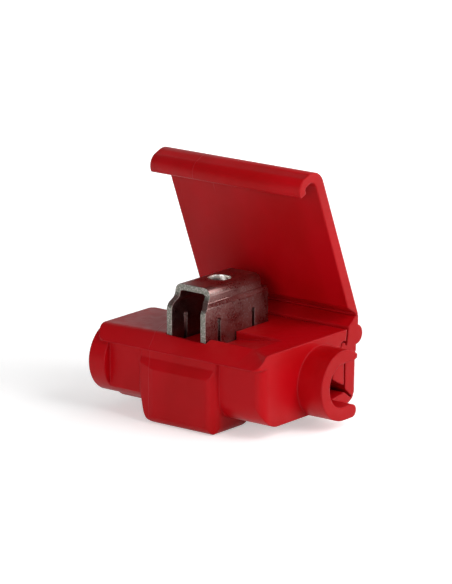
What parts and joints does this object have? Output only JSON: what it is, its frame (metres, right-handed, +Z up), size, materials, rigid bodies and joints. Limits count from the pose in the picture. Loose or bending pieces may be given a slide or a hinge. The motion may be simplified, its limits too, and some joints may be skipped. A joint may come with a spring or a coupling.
{
  "type": "tap wire connector",
  "caption": "Moulded wire tap connector with a hinged snap cover, a port for the branch wire, an open channel for the running wire and a raised blade contact.",
  "frame": {"origin": "on the tap wire's axis where the tap port's bore begins", "axes": "+X along both wires from the tap port towards the collar, +Y towards the cover's hinge, +Z up out of the deck"},
  "size_m": [0.0251, 0.0185, 0.0272],
  "materials": {
    "red_plastic": "semi-gloss moulded",
    "tinned_brass": "bright tin plate"
  },
  "bodies": {
    "base": {"housing": "red_plastic"},
    "lid": {"cover": "red_plastic"},
    "gate": {"wire_gate": "red_plastic"},
    "blade": {"contact": "tinned_brass"}
  },
  "joints": [
    {"name": "cover_hinge", "type": "hinge", "parent": "base", "child": "lid", "pos_m": [0.01175, 0.01225, 0.0052], "axis": [1, 0, 0], "range_deg": [0, 68.2]},
    {"name": "contact_press", "type": "slide", "parent": "base", "child": "blade", "axis": [0, 0, -1], "range_m": [0, 0.0052]},
    {"name": "gate_flex", "type": "hinge", "parent": "base", "child": "gate", "pos_m": [0.01175, 0.0117, 0.0005], "axis": [1, 0, 0], "range_deg": [0, 12]}
  ],
  "couplings": [
    {"joint": "contact_press", "follows": "cover_hinge", "m_per_rad": 0.0043685}
  ]
}
